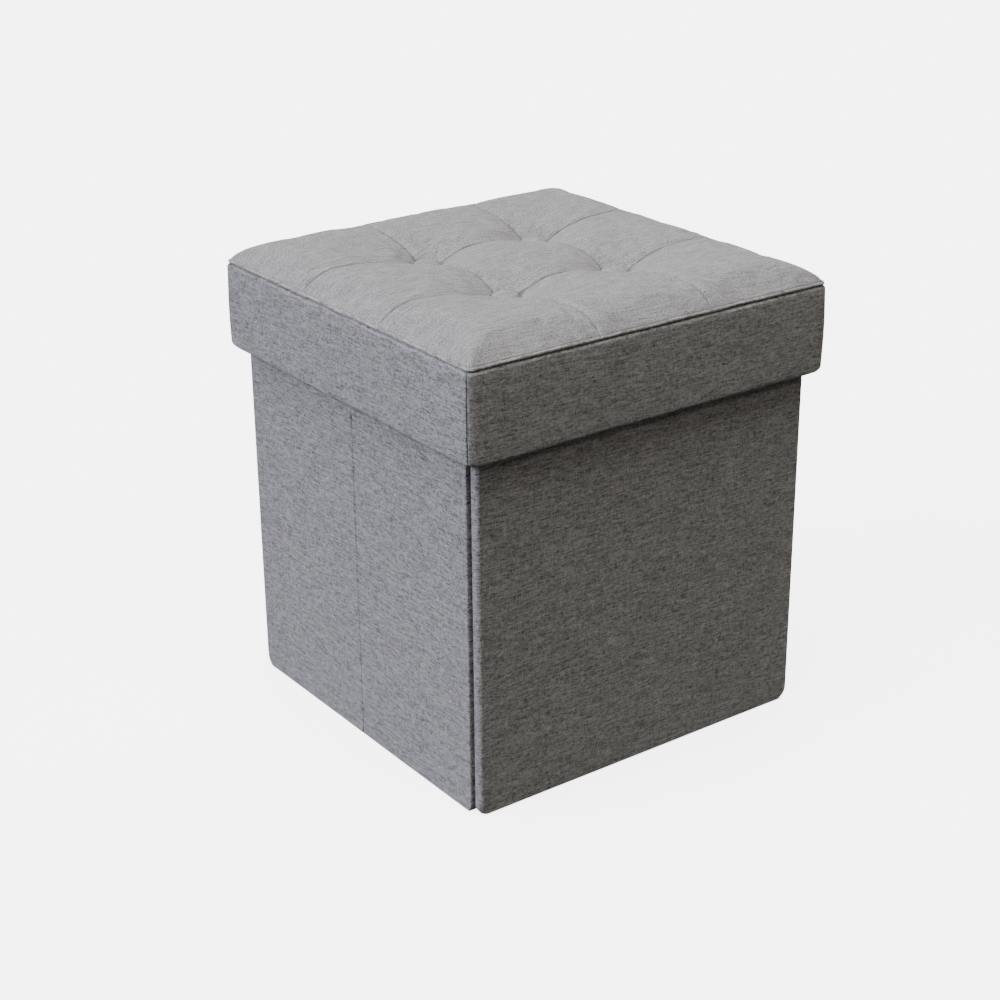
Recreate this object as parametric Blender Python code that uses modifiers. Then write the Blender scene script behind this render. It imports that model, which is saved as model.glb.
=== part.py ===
"""Folding storage ottoman: six hinged wall panels, a drop-in floor and a padded lift-off lid.

Metres, +Z up, origin on the ground under the middle of the box. -Y is the one-piece front wall
and -X is the creased left side. Every moving panel hangs from an empty on its fold line.
"""
import math

import bmesh
import bpy
from mathutils import Vector

# Driving sizes
BODY = 0.360            # width and depth of the box over its outer fabric
LID = 0.380             # width and depth of the lid over its skirt
SKIRT_LOW = 0.324       # lower edge of the lid's skirt
SEAM_Z = 0.405          # seam round the top edge of the lid
EDGE_RISE = 0.010       # how far the top bulges over the seam
CROWN_RISE = 0.008      # further rise from there to the middle of the lid

# Sheets and boards
GAP = 0.0003            # space between two pieces that touch on the real object
CLOTH = 0.0015          # outer fabric with its backing
LINING = 0.0010         # thin non-woven lining
WALL_BOARD = 0.0050     # fibreboard inside each wall panel
SKIRT_BOARD = 0.0040
LID_BOARD = 0.0050
FLOOR_BOARD = 0.0030
FLOOR_CLOTH = 0.0008

# Wall panels
WALL = CLOTH + GAP + WALL_BOARD + GAP + LINING      # thickness of one finished panel
FOLD_GAP = 0.0012       # space between neighbouring panels, where they hinge
FOLD_OUT = 0.0003       # how far the crease lies outside the panels' outer face
EDGE_ROUND = 0.0035     # rounding of a panel's outer edges
SET_BACK = 0.0030       # how far the front and back panels end inside the side walls' outer faces
FLOOR_TOP = 2 * FLOOR_CLOTH + 2 * GAP + FLOOR_BOARD
WALL_LOW = FLOOR_TOP + 0.0005
WALL_TOP = 0.3775
HEM_LOW = 0.0003

# Lid
LID_LOW = WALL_TOP + 0.0005                         # underside of the lid's lining
WASHER = 0.0012
LID_BOARD_LOW = LID_LOW + LINING + GAP + WASHER + GAP
LID_BOARD_TOP = LID_BOARD_LOW + LID_BOARD
FOAM_LOW = LID_BOARD_TOP + GAP
LID_CORNER = 0.010      # corner radius of the lid seen from above
WELT_R = 0.0024
WELT_OUT = 0.0012       # how far the welt stands proud of the skirt
TOP_HALF = LID / 2 - 2 * WELT_R + WELT_OUT - GAP    # the top fabric ends inside the welt
TUFT = 0.0590           # buttons and seams lie this far each side of the middle
SEAM_DEPTH = 0.0040
BUTTON_R = 0.0120
BUTTON_THICK = 0.0055
SEAT_R = BUTTON_R + 0.004                          # flat floor of the dimple under a button
SEAT_Z = 0.4060
STEM_R = 0.0012
WASHER_R = 0.0090

# Derived planes and fold lines
HALF = BODY / 2
LID_HALF = LID / 2
PIVOT = HALF - WALL                                 # inner face of a wall
SIDE_END = HALF - WALL - FOLD_GAP                   # end of a side wall, next to the front or back
HALF_PANEL = SIDE_END - FOLD_GAP / 2                # length of one half of a side wall
PIVOT_Y = PIVOT - FOLD_GAP / 2                      # fold line between a side wall and its neighbour
TAB_SIZE = (0.028, 0.070)


# --- scene set-up -------------------------------------------------------------------------------

def collection(name, hidden=False):
    new = bpy.data.collections.new(name)
    bpy.context.scene.collection.children.link(new)
    new.hide_render = hidden
    return new


for old in list(bpy.data.objects):
    bpy.data.objects.remove(old, do_unlink=True)
PARTS = collection("folding_storage_ottoman")
CUTTERS = collection("cutters", hidden=True)


def material(name, colour, roughness, metallic=0.0):
    mat = bpy.data.materials.new(name)
    mat.use_nodes = True
    shader = mat.node_tree.nodes["Principled BSDF"]
    shader.inputs["Base Color"].default_value = (*colour, 1.0)
    shader.inputs["Roughness"].default_value = roughness
    shader.inputs["Metallic"].default_value = metallic
    mat.diffuse_color = (*colour, 1.0)
    return mat


LINEN = (0.270, 0.258, 0.245)
LOOKS = {
    "linen": (LINEN, 0.92),
    "lining": ((0.085, 0.083, 0.080), 0.95),
    "board": ((0.42, 0.30, 0.19), 0.80),
    "foam": ((0.78, 0.74, 0.62), 0.95),
    "steel": ((0.56, 0.57, 0.58), 0.35, 1.0),
}


# --- building blocks ----------------------------------------------------------------------------

def add_object(name, mesh, parent=None, look=None):
    """Links a mesh as a part, or as a hidden cutter when it has no look."""
    obj = bpy.data.objects.new(name, mesh)
    (PARTS if look else CUTTERS).objects.link(obj)
    if look:
        mesh.materials.append(material(name, *LOOKS[look]))
    else:
        obj.display_type = "WIRE"
        obj.hide_render = True
    if parent:
        obj.parent = parent
        obj.matrix_parent_inverse = parent.matrix_world.inverted()
    return obj


def mesh_from(name, bm):
    bm.normal_update()
    bmesh.ops.recalc_face_normals(bm, faces=bm.faces)
    mesh = bpy.data.meshes.new(name)
    bm.to_mesh(mesh)
    bm.free()
    return mesh


def place(obj, spot, turn=0.0):
    """Moves an object to a world spot, turned about Z, whatever its parent."""
    obj.location = spot
    obj.rotation_euler = (0.0, 0.0, turn)
    return obj


def box_mesh(name, low, high, rounded=None):
    """A box between two corners; rounded(edge) picks the edges that a Bevel will round."""
    low, high = Vector(low), Vector(high)
    bm = bmesh.new()
    bmesh.ops.create_cube(bm, size=1.0)
    bmesh.ops.scale(bm, vec=high - low, verts=bm.verts)
    bmesh.ops.translate(bm, vec=(low + high) / 2, verts=bm.verts)
    if rounded:
        weight = bm.edges.layers.float.new("bevel_weight_edge")
        for edge in bm.edges:
            edge[weight] = 1.0 if rounded(edge) else 0.0
    return mesh_from(name, bm)


def bevel(obj, width, segments):
    mod = obj.modifiers.new("rounded edges", "BEVEL")
    mod.limit_method = "WEIGHT"
    mod.width = width
    mod.segments = segments


def boolean(obj, cutter, operation="DIFFERENCE"):
    mod = obj.modifiers.new(operation.lower(), "BOOLEAN")
    mod.operation = operation
    mod.solver = "EXACT"
    mod.object = cutter


def lathe(name, outline, segments, look, parent, spot):
    """Turns an outline of (radius, height) points round a vertical axis at the given spot."""
    bm = bmesh.new()
    points = [bm.verts.new((radius, 0.0, height)) for radius, height in outline]
    for first, second in zip(points, points[1:]):
        bm.edges.new((first, second))
    if outline[0][0] > 0.0:
        bm.edges.new((points[-1], points[0]))
    bmesh.ops.spin(bm, geom=bm.verts[:] + bm.edges[:], axis=(0, 0, 1), cent=(0, 0, 0),
                   angle=math.tau, steps=segments)
    bmesh.ops.remove_doubles(bm, verts=bm.verts, dist=1e-6)
    return place(add_object(name, mesh_from(name, bm), parent, look), spot)


def pivot(name, x, y, parent=None):
    """An empty on a vertical fold line."""
    empty = bpy.data.objects.new(name, None)
    empty.empty_display_size = 0.03
    PARTS.objects.link(empty)
    empty.location = (x, y, 0.0)
    if parent:
        empty.parent = parent
        empty.matrix_parent_inverse = parent.matrix_world.inverted()
    bpy.context.view_layer.update()
    return empty


# --- wall panels --------------------------------------------------------------------------------

def wall_panel(name, parent, spot, turn, length):
    """One wall panel: a fabric tray round a board, a lining behind it and a soft hem below.

    In the panel's own axes X runs along it, -Y is outward and the outer face lies in Y = 0.
    """
    end = length / 2

    def outer_edge(edge):
        return all(vert.co.y < WALL / 2 for vert in edge.verts)

    cover = add_object(f"{name}_cover", box_mesh(
        f"{name}_cover", (-end, 0, WALL_LOW), (end, WALL, WALL_TOP), outer_edge), parent, "linen")
    bevel(cover, EDGE_ROUND, 4)
    rim = CLOTH
    pocket = add_object(f"{name}_pocket", box_mesh(
        f"{name}_pocket", (-end + rim, CLOTH, WALL_LOW + rim),
        (end - rim, WALL + 0.01, WALL_TOP - rim)), parent)
    boolean(cover, pocket)

    inset = end - rim - GAP
    low, high = WALL_LOW + rim + GAP, WALL_TOP - rim - GAP
    board_face = CLOTH + GAP
    board = add_object(f"{name}_board", box_mesh(
        f"{name}_board", (-inset, board_face, low),
        (inset, board_face + WALL_BOARD, high)), parent, "board")
    lining = add_object(f"{name}_lining", box_mesh(
        f"{name}_lining", (-inset, WALL - LINING, low), (inset, WALL, high)), parent, "lining")

    def hem_edge(edge):
        return outer_edge(edge) and all(vert.co.z < WALL_LOW / 2 for vert in edge.verts)

    hem = add_object(f"{name}_hem", box_mesh(
        f"{name}_hem", (-end + EDGE_ROUND, 0.0005, HEM_LOW),
        (end - EDGE_ROUND, WALL - 0.0005, WALL_LOW - GAP), hem_edge), parent, "linen")
    bevel(hem, 0.0020, 2)
    for piece in (cover, pocket, board, lining, hem):
        place(piece, spot, turn)


def fold_strip(name, parent, low, high, look):
    """A strip of cloth hinge standing between two panels."""
    add_object(name, box_mesh(name, low, high), parent, look)


def walls():
    """Six wall panels on their fold lines, and the cloth strips between them."""
    wall_panel("front", None, (0, -HALF, 0), 0.0, BODY - 2 * SET_BACK)
    half_spot = FOLD_GAP / 2 + HALF_PANEL / 2
    back_lines = {}
    for side, sign in (("left", -1), ("right", 1)):
        front_line = pivot(f"{side}_front_line", sign * PIVOT, -PIVOT_Y)
        crease_line = pivot(f"{side}_crease_line", sign * (HALF + FOLD_OUT), 0.0, front_line)
        back_lines[side] = pivot(f"{side}_back_line", sign * PIVOT, PIVOT_Y, crease_line)
        turn = sign * math.pi / 2
        wall_panel(f"{side}_front", front_line, (sign * HALF, -half_spot, 0), turn, HALF_PANEL)
        wall_panel(f"{side}_rear", crease_line, (sign * HALF, half_spot, 0), turn, HALF_PANEL)
    wall_panel("back", back_lines["left"], (0, HALF, 0), math.pi, BODY - 2 * SET_BACK)

    low, high = WALL_LOW + EDGE_ROUND, WALL_TOP - EDGE_ROUND
    for side, sign in (("left", -1), ("right", 1)):
        across = sorted((sign * (HALF - EDGE_ROUND), sign * PIVOT))
        for end, facing in (("front", -1), ("back", 1)):
            owner = back_lines["left"] if end == "back" else None
            deep = sorted((facing * (PIVOT - GAP), facing * (SIDE_END + GAP)))
            fold_strip(f"{end}_{side}_corner_strip", owner, (across[0], deep[0], low),
                       (across[1], deep[1], high), "lining")
        across = sorted((sign * (HALF - 0.0004), sign * (HALF - CLOTH - 0.0004)))
        fold_strip(f"{side}_crease_strip", bpy.data.objects[f"{side}_crease_line"],
                   (across[0], -FOLD_GAP / 2 + GAP, low), (across[1], FOLD_GAP / 2 - GAP, high), "linen")


# --- drop-in floor ------------------------------------------------------------------------------

def floor():
    """A thin board in a fabric wrap, with a top lining and a ribbon tab to lift it by."""
    reach = PIVOT - 0.0006
    inner = reach - FLOOR_CLOTH
    wrap = add_object("floor_wrap", box_mesh(
        "floor_wrap", (-reach, -reach, 0), (reach, reach, FLOOR_TOP)), None, "lining")
    pocket = add_object("floor_pocket", box_mesh(
        "floor_pocket", (-inner, -inner, FLOOR_CLOTH), (inner, inner, 0.1)))
    boolean(wrap, pocket)

    inner -= GAP
    board_low = FLOOR_CLOTH + GAP
    add_object("floor_board", box_mesh(
        "floor_board", (-inner, -inner, board_low),
        (inner, inner, board_low + FLOOR_BOARD)), None, "board")
    sheet_low = FLOOR_TOP - FLOOR_CLOTH
    lining = add_object("floor_lining", box_mesh(
        "floor_lining", (-inner, -inner, sheet_low), (inner, inner, FLOOR_TOP)), None, "lining")

    tab_end = -inner + 0.004
    wide, long = TAB_SIZE[0] / 2, TAB_SIZE[1]
    add_object("floor_pull_tab", box_mesh(
        "floor_pull_tab", (-wide, tab_end, sheet_low), (wide, tab_end + long, FLOOR_TOP)), None, "linen")
    notch = add_object("floor_tab_notch", box_mesh(
        "floor_tab_notch", (-wide - GAP, tab_end - GAP, -0.1), (wide + GAP, tab_end + long + GAP, 0.1)))
    boolean(lining, notch)


# --- lid ----------------------------------------------------------------------------------------

def upright(edge):
    return abs(edge.verts[0].co.z - edge.verts[1].co.z) > 1e-6


def rounded_slab(name, half, low, high, parent=None, look=None, corner=LID_CORNER):
    """A square slab centred on the origin with its upright edges rounded."""
    slab = add_object(name, box_mesh(
        name, (-half, -half, low), (half, half, high), upright), parent, look)
    bevel(slab, corner, 6)
    return slab


def side_wedge(name, turn):
    """The quarter of the lid that belongs to one side, cut off along both mitres."""
    bm = bmesh.new()
    bmesh.ops.create_cone(bm, cap_ends=True, segments=3, radius1=1.0, radius2=1.0, depth=2.0)
    tip = -GAP / math.sqrt(2)
    corners = ((0.0, tip), (-1.0, tip - 1.0), (1.0, tip - 1.0))
    columns = {}
    for vert in bm.verts:
        columns.setdefault((round(vert.co.x, 3), round(vert.co.y, 3)), []).append(vert)
    for (x, y), verts in zip(corners, columns.values()):
        for vert in verts:
            vert.co.x, vert.co.y = x, y
    return place(add_object(name, mesh_from(name, bm)), (0, 0, 0), turn)


def skirt(lid):
    """Four skirt boards, each in a fabric panel that turns under the lower edge."""
    inner = LID_HALF - CLOTH - GAP - SKIRT_BOARD - GAP - LINING
    for side, turn in (("front", 0.0), ("right", math.pi / 2), ("back", math.pi), ("left", -math.pi / 2)):
        wedge = side_wedge(f"skirt_{side}_wedge", turn)

        cover = rounded_slab(f"skirt_{side}_cover", LID_HALF, SKIRT_LOW, SEAM_Z - WELT_R - GAP,
                             lid, "linen")
        pocket = rounded_slab(f"skirt_{side}_pocket", LID_HALF - CLOTH, SKIRT_LOW + CLOTH, 0.5,
                              corner=LID_CORNER - CLOTH)
        core = rounded_slab(f"skirt_{side}_core", inner + LINING, SKIRT_LOW + CLOTH / 2, 0.5,
                            corner=0.004)
        trim = rounded_slab(f"skirt_{side}_trim", LID, LID_LOW - GAP, 0.5, corner=0.001)
        hollow = rounded_slab(f"skirt_{side}_hollow", inner, 0.0, 0.6, corner=0.003)
        boolean(pocket, core)
        boolean(trim, rounded_slab(f"skirt_{side}_shell", LID_HALF - CLOTH, 0.2, 0.6,
                                   corner=LID_CORNER - CLOTH), "INTERSECT")
        for cutter in (pocket, trim, hollow):
            boolean(cover, cutter)
        boolean(cover, wedge, "INTERSECT")

        board = rounded_slab(f"skirt_{side}_board", LID_HALF - CLOTH - GAP, SKIRT_LOW + CLOTH + GAP,
                             LID_BOARD_TOP, lid, "board", corner=LID_CORNER - CLOTH - GAP)
        boolean(board, rounded_slab(f"skirt_{side}_board_hollow", inner + LINING + GAP, 0.0, 0.6,
                                    corner=0.004))
        boolean(board, wedge, "INTERSECT")


def top_height(x, y):
    """Height of the tufted top at a point: bulged edge, gentle crown, seams and button dimples."""
    reach = min(TOP_HALF - abs(x), TOP_HALF - abs(y))
    roll = min(1.0, max(0.0, reach) / (2.2 * EDGE_RISE))
    height = SEAM_Z + EDGE_RISE * math.sqrt(1.0 - (1.0 - roll) ** 2)
    height += CROWN_RISE * (1.0 - (x / LID_HALF) ** 2) * (1.0 - (y / LID_HALF) ** 2)
    across = min(abs(abs(x) - TUFT), abs(abs(y) - TUFT))
    height -= SEAM_DEPTH * math.exp(-(across / 0.008) ** 2) * roll
    outside = max(0.0, math.hypot(abs(x) - TUFT, abs(y) - TUFT) - SEAT_R)
    return height + (SEAT_Z - height) * math.exp(-(outside / 0.016) ** 2)


def top_solid(name, drop, underside):
    """A solid under the tufted surface, lowered by drop; underside(z) is its lower height."""
    bm = bmesh.new()
    bmesh.ops.create_grid(bm, x_segments=36, y_segments=36, size=LID_HALF)
    for vert in bm.verts:
        vert.co.z = top_height(vert.co.x, vert.co.y) - drop
    made = bmesh.ops.extrude_face_region(bm, geom=bm.faces[:], use_keep_orig=True)
    for item in made["geom"]:
        if isinstance(item, bmesh.types.BMVert):
            item.co.z = underside(item.co.z)
    return mesh_from(name, bm)


def tuft_spots():
    return [(sx * TUFT, sy * TUFT) for sy in (-1, 1) for sx in (-1, 1)]


def stem_holes(name):
    """Four upright pegs that cut the holes for the buttons' stems."""
    bm = bmesh.new()
    for x, y in tuft_spots():
        peg = bmesh.ops.create_cone(bm, cap_ends=True, segments=16, radius1=STEM_R + GAP,
                                    radius2=STEM_R + GAP, depth=0.2)
        bmesh.ops.translate(bm, vec=(x, y, SEAM_Z), verts=peg["verts"])
    return add_object(name, mesh_from(name, bm))


def padded_top(lid):
    """Board, foam, tufted fabric, welt and lining of the lid's flat part."""
    holes = stem_holes("stem_holes")
    board_half = LID_HALF - CLOTH - GAP - SKIRT_BOARD - GAP
    board = rounded_slab("lid_board", board_half, LID_BOARD_LOW, LID_BOARD_TOP, lid, "board", corner=0.003)
    boolean(board, holes)
    outline = rounded_slab("top_outline", TOP_HALF, 0.0, 1.0)
    foam_mesh = top_solid("lid_foam", CLOTH + 2 * GAP, lambda z: FOAM_LOW)
    top_mesh = top_solid("lid_top_cover", 0.0, lambda z: z - CLOTH)
    for piece in (add_object("lid_foam", foam_mesh, lid, "foam"),
                  add_object("lid_top_cover", top_mesh, lid, "linen")):
        boolean(piece, outline, "INTERSECT")
        boolean(piece, holes)
    add_object("lid_lining", box_mesh(
        "lid_lining", (-board_half + 0.001, -board_half + 0.001, LID_LOW),
        (board_half - 0.001, board_half - 0.001, LID_LOW + LINING)), lid, "lining")


def welt(lid):
    """The narrow raised flange that runs round the lid's top seam."""
    curve = bpy.data.curves.new("lid_welt", "CURVE")
    curve.dimensions = "3D"
    curve.bevel_depth = WELT_R
    curve.bevel_resolution = 3
    spline = curve.splines.new("POLY")
    half = LID_HALF + WELT_OUT - WELT_R
    centre = half - LID_CORNER
    steps = 6
    points = []
    for quarter in range(4):
        turn = quarter * math.pi / 2
        corner = Vector((centre, centre))
        for step in range(steps + 1):
            angle = step / steps * math.pi / 2
            spot = corner + LID_CORNER * Vector((math.cos(angle), math.sin(angle)))
            x = spot.x * math.cos(turn) - spot.y * math.sin(turn)
            y = spot.x * math.sin(turn) + spot.y * math.cos(turn)
            points.append((x, y, SEAM_Z, 1.0))
    spline.points.add(len(points) - 1)
    for point, co in zip(spline.points, points):
        point.co = co
    spline.use_cyclic_u = True
    add_object("lid_welt", curve, lid, "linen")


def tufting(lid):
    """Four fabric-covered buttons, each with its stem through the lid and a washer under it."""
    names = ("front_left", "front_right", "back_left", "back_right")
    for name, (x, y) in zip(names, tuft_spots()):
        seat = SEAT_Z + 2 * GAP
        dome = [(BUTTON_R * math.sin(a), BUTTON_THICK * math.cos(a))
                for a in (step * math.pi / 2 / 8 for step in range(9))]
        stem_low = LID_LOW + LINING + GAP
        cap = [(radius, seat + 0.0008 + height) for radius, height in dome]
        outline = cap + [(BUTTON_R - 0.001, seat), (STEM_R, seat), (STEM_R, stem_low), (0.0, stem_low)]
        lathe(f"tuft_button_{name}", outline, 32, "linen", lid, (x, y, 0))
        ring = [(STEM_R + GAP, stem_low), (WASHER_R, stem_low),
                (WASHER_R, stem_low + WASHER), (STEM_R + GAP, stem_low + WASHER)]
        lathe(f"tuft_washer_{name}", ring, 32, "steel", lid, (x, y, 0))


walls()
floor()
lid_pivot = pivot("lid_line", 0.0, 0.0)
skirt(lid_pivot)
padded_top(lid_pivot)
welt(lid_pivot)
tufting(lid_pivot)
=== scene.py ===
"""The looks of the folding storage ottoman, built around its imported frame.

Linen-look upholstery over hinged wall panels, a tufted lid, linings, hems and a drop-in floor.
Everything is in metres in the frame's own axes: -Y is the one-piece front, -X a creased side.
"""

import math

import bmesh
import bpy
import numpy as np
from mathutils import Matrix, Vector, noise


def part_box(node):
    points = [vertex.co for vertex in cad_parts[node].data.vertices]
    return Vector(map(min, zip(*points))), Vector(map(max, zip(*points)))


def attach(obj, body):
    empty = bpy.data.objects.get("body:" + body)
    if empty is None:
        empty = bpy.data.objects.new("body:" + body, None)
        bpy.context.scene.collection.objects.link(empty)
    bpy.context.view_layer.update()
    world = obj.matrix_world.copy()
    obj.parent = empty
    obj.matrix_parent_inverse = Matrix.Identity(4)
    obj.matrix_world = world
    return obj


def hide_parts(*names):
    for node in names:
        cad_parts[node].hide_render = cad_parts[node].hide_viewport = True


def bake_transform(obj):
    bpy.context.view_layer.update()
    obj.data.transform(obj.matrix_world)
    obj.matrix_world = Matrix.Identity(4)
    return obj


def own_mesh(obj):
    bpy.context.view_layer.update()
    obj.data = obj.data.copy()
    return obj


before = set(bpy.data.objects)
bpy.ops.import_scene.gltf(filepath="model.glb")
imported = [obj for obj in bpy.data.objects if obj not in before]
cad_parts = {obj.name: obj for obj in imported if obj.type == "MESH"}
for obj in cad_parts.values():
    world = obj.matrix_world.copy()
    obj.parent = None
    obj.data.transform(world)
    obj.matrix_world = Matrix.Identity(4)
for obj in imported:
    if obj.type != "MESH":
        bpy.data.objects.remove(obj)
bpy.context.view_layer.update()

# Sizes read from the frame
LID_HALF = -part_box("skirt_front_cover")[0].y
SKIRT_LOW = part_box("skirt_front_cover")[0].z
SEAM_Z = sum((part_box("lid_welt")[0].z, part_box("lid_welt")[1].z)) / 2
LID_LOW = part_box("lid_lining")[0].z
FOAM_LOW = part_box("lid_foam")[0].z
BODY_HALF = -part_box("front_cover")[0].y
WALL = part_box("front_cover")[1].y + BODY_HALF
WALL_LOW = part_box("front_cover")[0].z
WALL_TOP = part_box("front_cover")[1].z
HEM_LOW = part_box("front_hem")[0].z
SIDE_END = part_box("right_rear_cover")[1].y
CREASE_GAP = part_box("right_rear_cover")[0].y
FLOOR_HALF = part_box("floor_wrap")[1].x
FLOOR_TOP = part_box("floor_wrap")[1].z
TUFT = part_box("tuft_button_back_right")[0].lerp(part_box("tuft_button_back_right")[1], 0.5).x
BUTTON_R = (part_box("tuft_button_back_right")[1].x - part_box("tuft_button_back_right")[0].x) / 2

BOARD_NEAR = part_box("front_board")[0].y + BODY_HALF    # a wall board's faces, from the outer face
BOARD_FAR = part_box("front_board")[1].y + BODY_HALF

# The lid's upholstery
CLOTH = 0.0013
WELT_R = 0.0014
WELT_LINE = LID_HALF - 0.0020  # the welt runs this far from the middle of the lid
WELT_CORNER = 0.0042
TOP_HALF = WELT_LINE - 0.0007
TOP_CORNER = 0.0052            # corners of the top's fabric, inside the welt
TOP_EDGE = SEAM_Z + 0.0006     # height at which the top's fabric leaves the welt
TOP_RISE = 0.0178              # from there to the plateau of the top
ROLL = 0.0420                  # width of the rounded edge of the top
ROLL_POWER = 2.6               # how full that edge is
EDGE_BULGE = 0.0014            # the stuffing makes the fabric rise steeply beside the welt
PULL = 0.0175                  # how far a button pulls the top down
SEAM_DIP = 0.0007              # depth of a seam far from the buttons
SEAM_SPREAD = 0.026            # the panels slope down to a seam over this distance
SEAM_REACH = 0.027             # how far a button's pull runs along a seam
PANEL_REACH = 0.021            # how far it runs into a panel
SEAT = TOP_EDGE + TOP_RISE - PULL - SEAM_DIP    # height of the fabric under a button
FOAM_INSET = 0.0025            # the foam stands back from the fabric at the edge
FOAM_DROP = 0.0042             # and lies this far below it
BUTTON_THICK = 0.0064
STEM_R = 0.0011
SKIRT_THICK = 0.0071
CORNER_WIDE = 0.0084           # rounded ends of the front and back panels of the skirt
CORNER_DEEP = 0.0030

# The walls and the floor
BOARD_EDGE = 0.0018            # cloth and gap round the edge of a board
RIM = CLOTH + 0.0002           # a wall's fabric and gap beside its board
FOOT_TOP = 0.0155              # the rounded lower corners of a wall end below this height
SEAM_INSET = 0.007             # the lid's and floor's linings are sewn this far from their edge
WALL_SEAM_INSET = 0.006
FLOOR_STITCH = 0.00024         # thin thread, so the folding walls pass over the floor's seams

# Ends of a wall panel: radius of the upright edge, extra length, radius of the lower corner
WIDE_END = (0.0046, 0.0, 0.0120)
NEAR_END = (0.0044, 0.0, 0.0078)
SIDE_FRONT_END = (0.0012, -0.0010, 0.0060)
SIDE_REAR_END = (0.0009, 0.0005, 0.0110)
CREASE_END = (0.0004, 0.0, 0.0020)

SIDES = (("left", -1), ("right", 1))    # with the sign of X
ENDS = (("front", -1), ("back", 1))     # with the sign of Y
MERGE = 1e-6                            # points nearer than this are one
GREY = (0.268, 0.263, 0.258)

# --- mesh building ---

def place(name, data):
    obj = bpy.data.objects.new(name, data)
    bpy.context.scene.collection.objects.link(obj)
    return obj


def link(name, mesh, smooth=True):
    obj = place(name, mesh)
    for face in mesh.polygons:
        face.use_smooth = smooth
    return obj


def finish_mesh(name, bm, smooth=True):
    """Makes an object of a mesh under construction, without loose points or faces of no area."""
    for vert in [v for v in bm.verts if not v.link_faces]:
        bm.verts.remove(vert)
    bmesh.ops.dissolve_degenerate(bm, edges=bm.edges, dist=MERGE)
    bm.normal_update()
    bmesh.ops.recalc_face_normals(bm, faces=bm.faces)
    mesh = bpy.data.meshes.new(name)
    bm.to_mesh(mesh)
    bm.free()
    return link(name, mesh, smooth)


def skin(bm, rows, closed):
    """Fills the strips between neighbouring rows of vertices; closed rows are rings."""
    for low, high in zip(rows, rows[1:]):
        for i in range(len(low) if closed else len(low) - 1):
            j = (i + 1) % len(low)
            bm.faces.new((low[i], low[j], high[j], high[i]))


def loft(name, rings, capped=True, looped=False):
    """Skins a list of closed rings of points; looped joins the last ring to the first."""
    bm = bmesh.new()
    rows = [[bm.verts.new(point) for point in ring] for ring in rings]
    skin(bm, rows + rows[:1] if looped else rows, closed=True)
    if capped:
        bm.faces.new(list(reversed(rows[0])))
        bm.faces.new(rows[-1])
    return finish_mesh(name, bm)


def spread(start, end, count):
    return [start + (end - start) * i / count for i in range(count + 1)]


def arc(centre, radius, start, end, count):
    """Points of an arc in a plane; the angles are in degrees."""
    angles = (math.radians(a) for a in spread(start, end, count))
    return [(centre[0] + radius * math.cos(a), centre[1] + radius * math.sin(a)) for a in angles]


def rounding(radius, start, end, count):
    """(depth, inset) pairs round an edge: at 0 degrees the face ends, at 90 is the edge's level."""
    angles = (math.radians(degrees) for degrees in spread(start, end, count))
    return [(radius * (1 - math.sin(a)), radius * (1 - math.cos(a))) for a in angles]


def ripple(point, pitch, seed=0.0):
    """Smooth noise from -1 to 1 that varies over about one pitch."""
    return noise.noise(Vector(point) / pitch + Vector((seed, 3.7 * seed, 1.9 * seed)))


def crisp(obj, angle=35.0):
    """Keeps sharp corners sharp on a smooth-shaded mesh."""
    limit = math.radians(angle)
    bm = bmesh.new()
    bm.from_mesh(obj.data)
    for edge in bm.edges:
        edge.smooth = not edge.is_manifold or edge.calc_face_angle(0.0) < limit
    bm.to_mesh(obj.data)
    bm.free()
    return obj


# --- materials ---

YARN = 0.00078               # pitch of the weave


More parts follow.
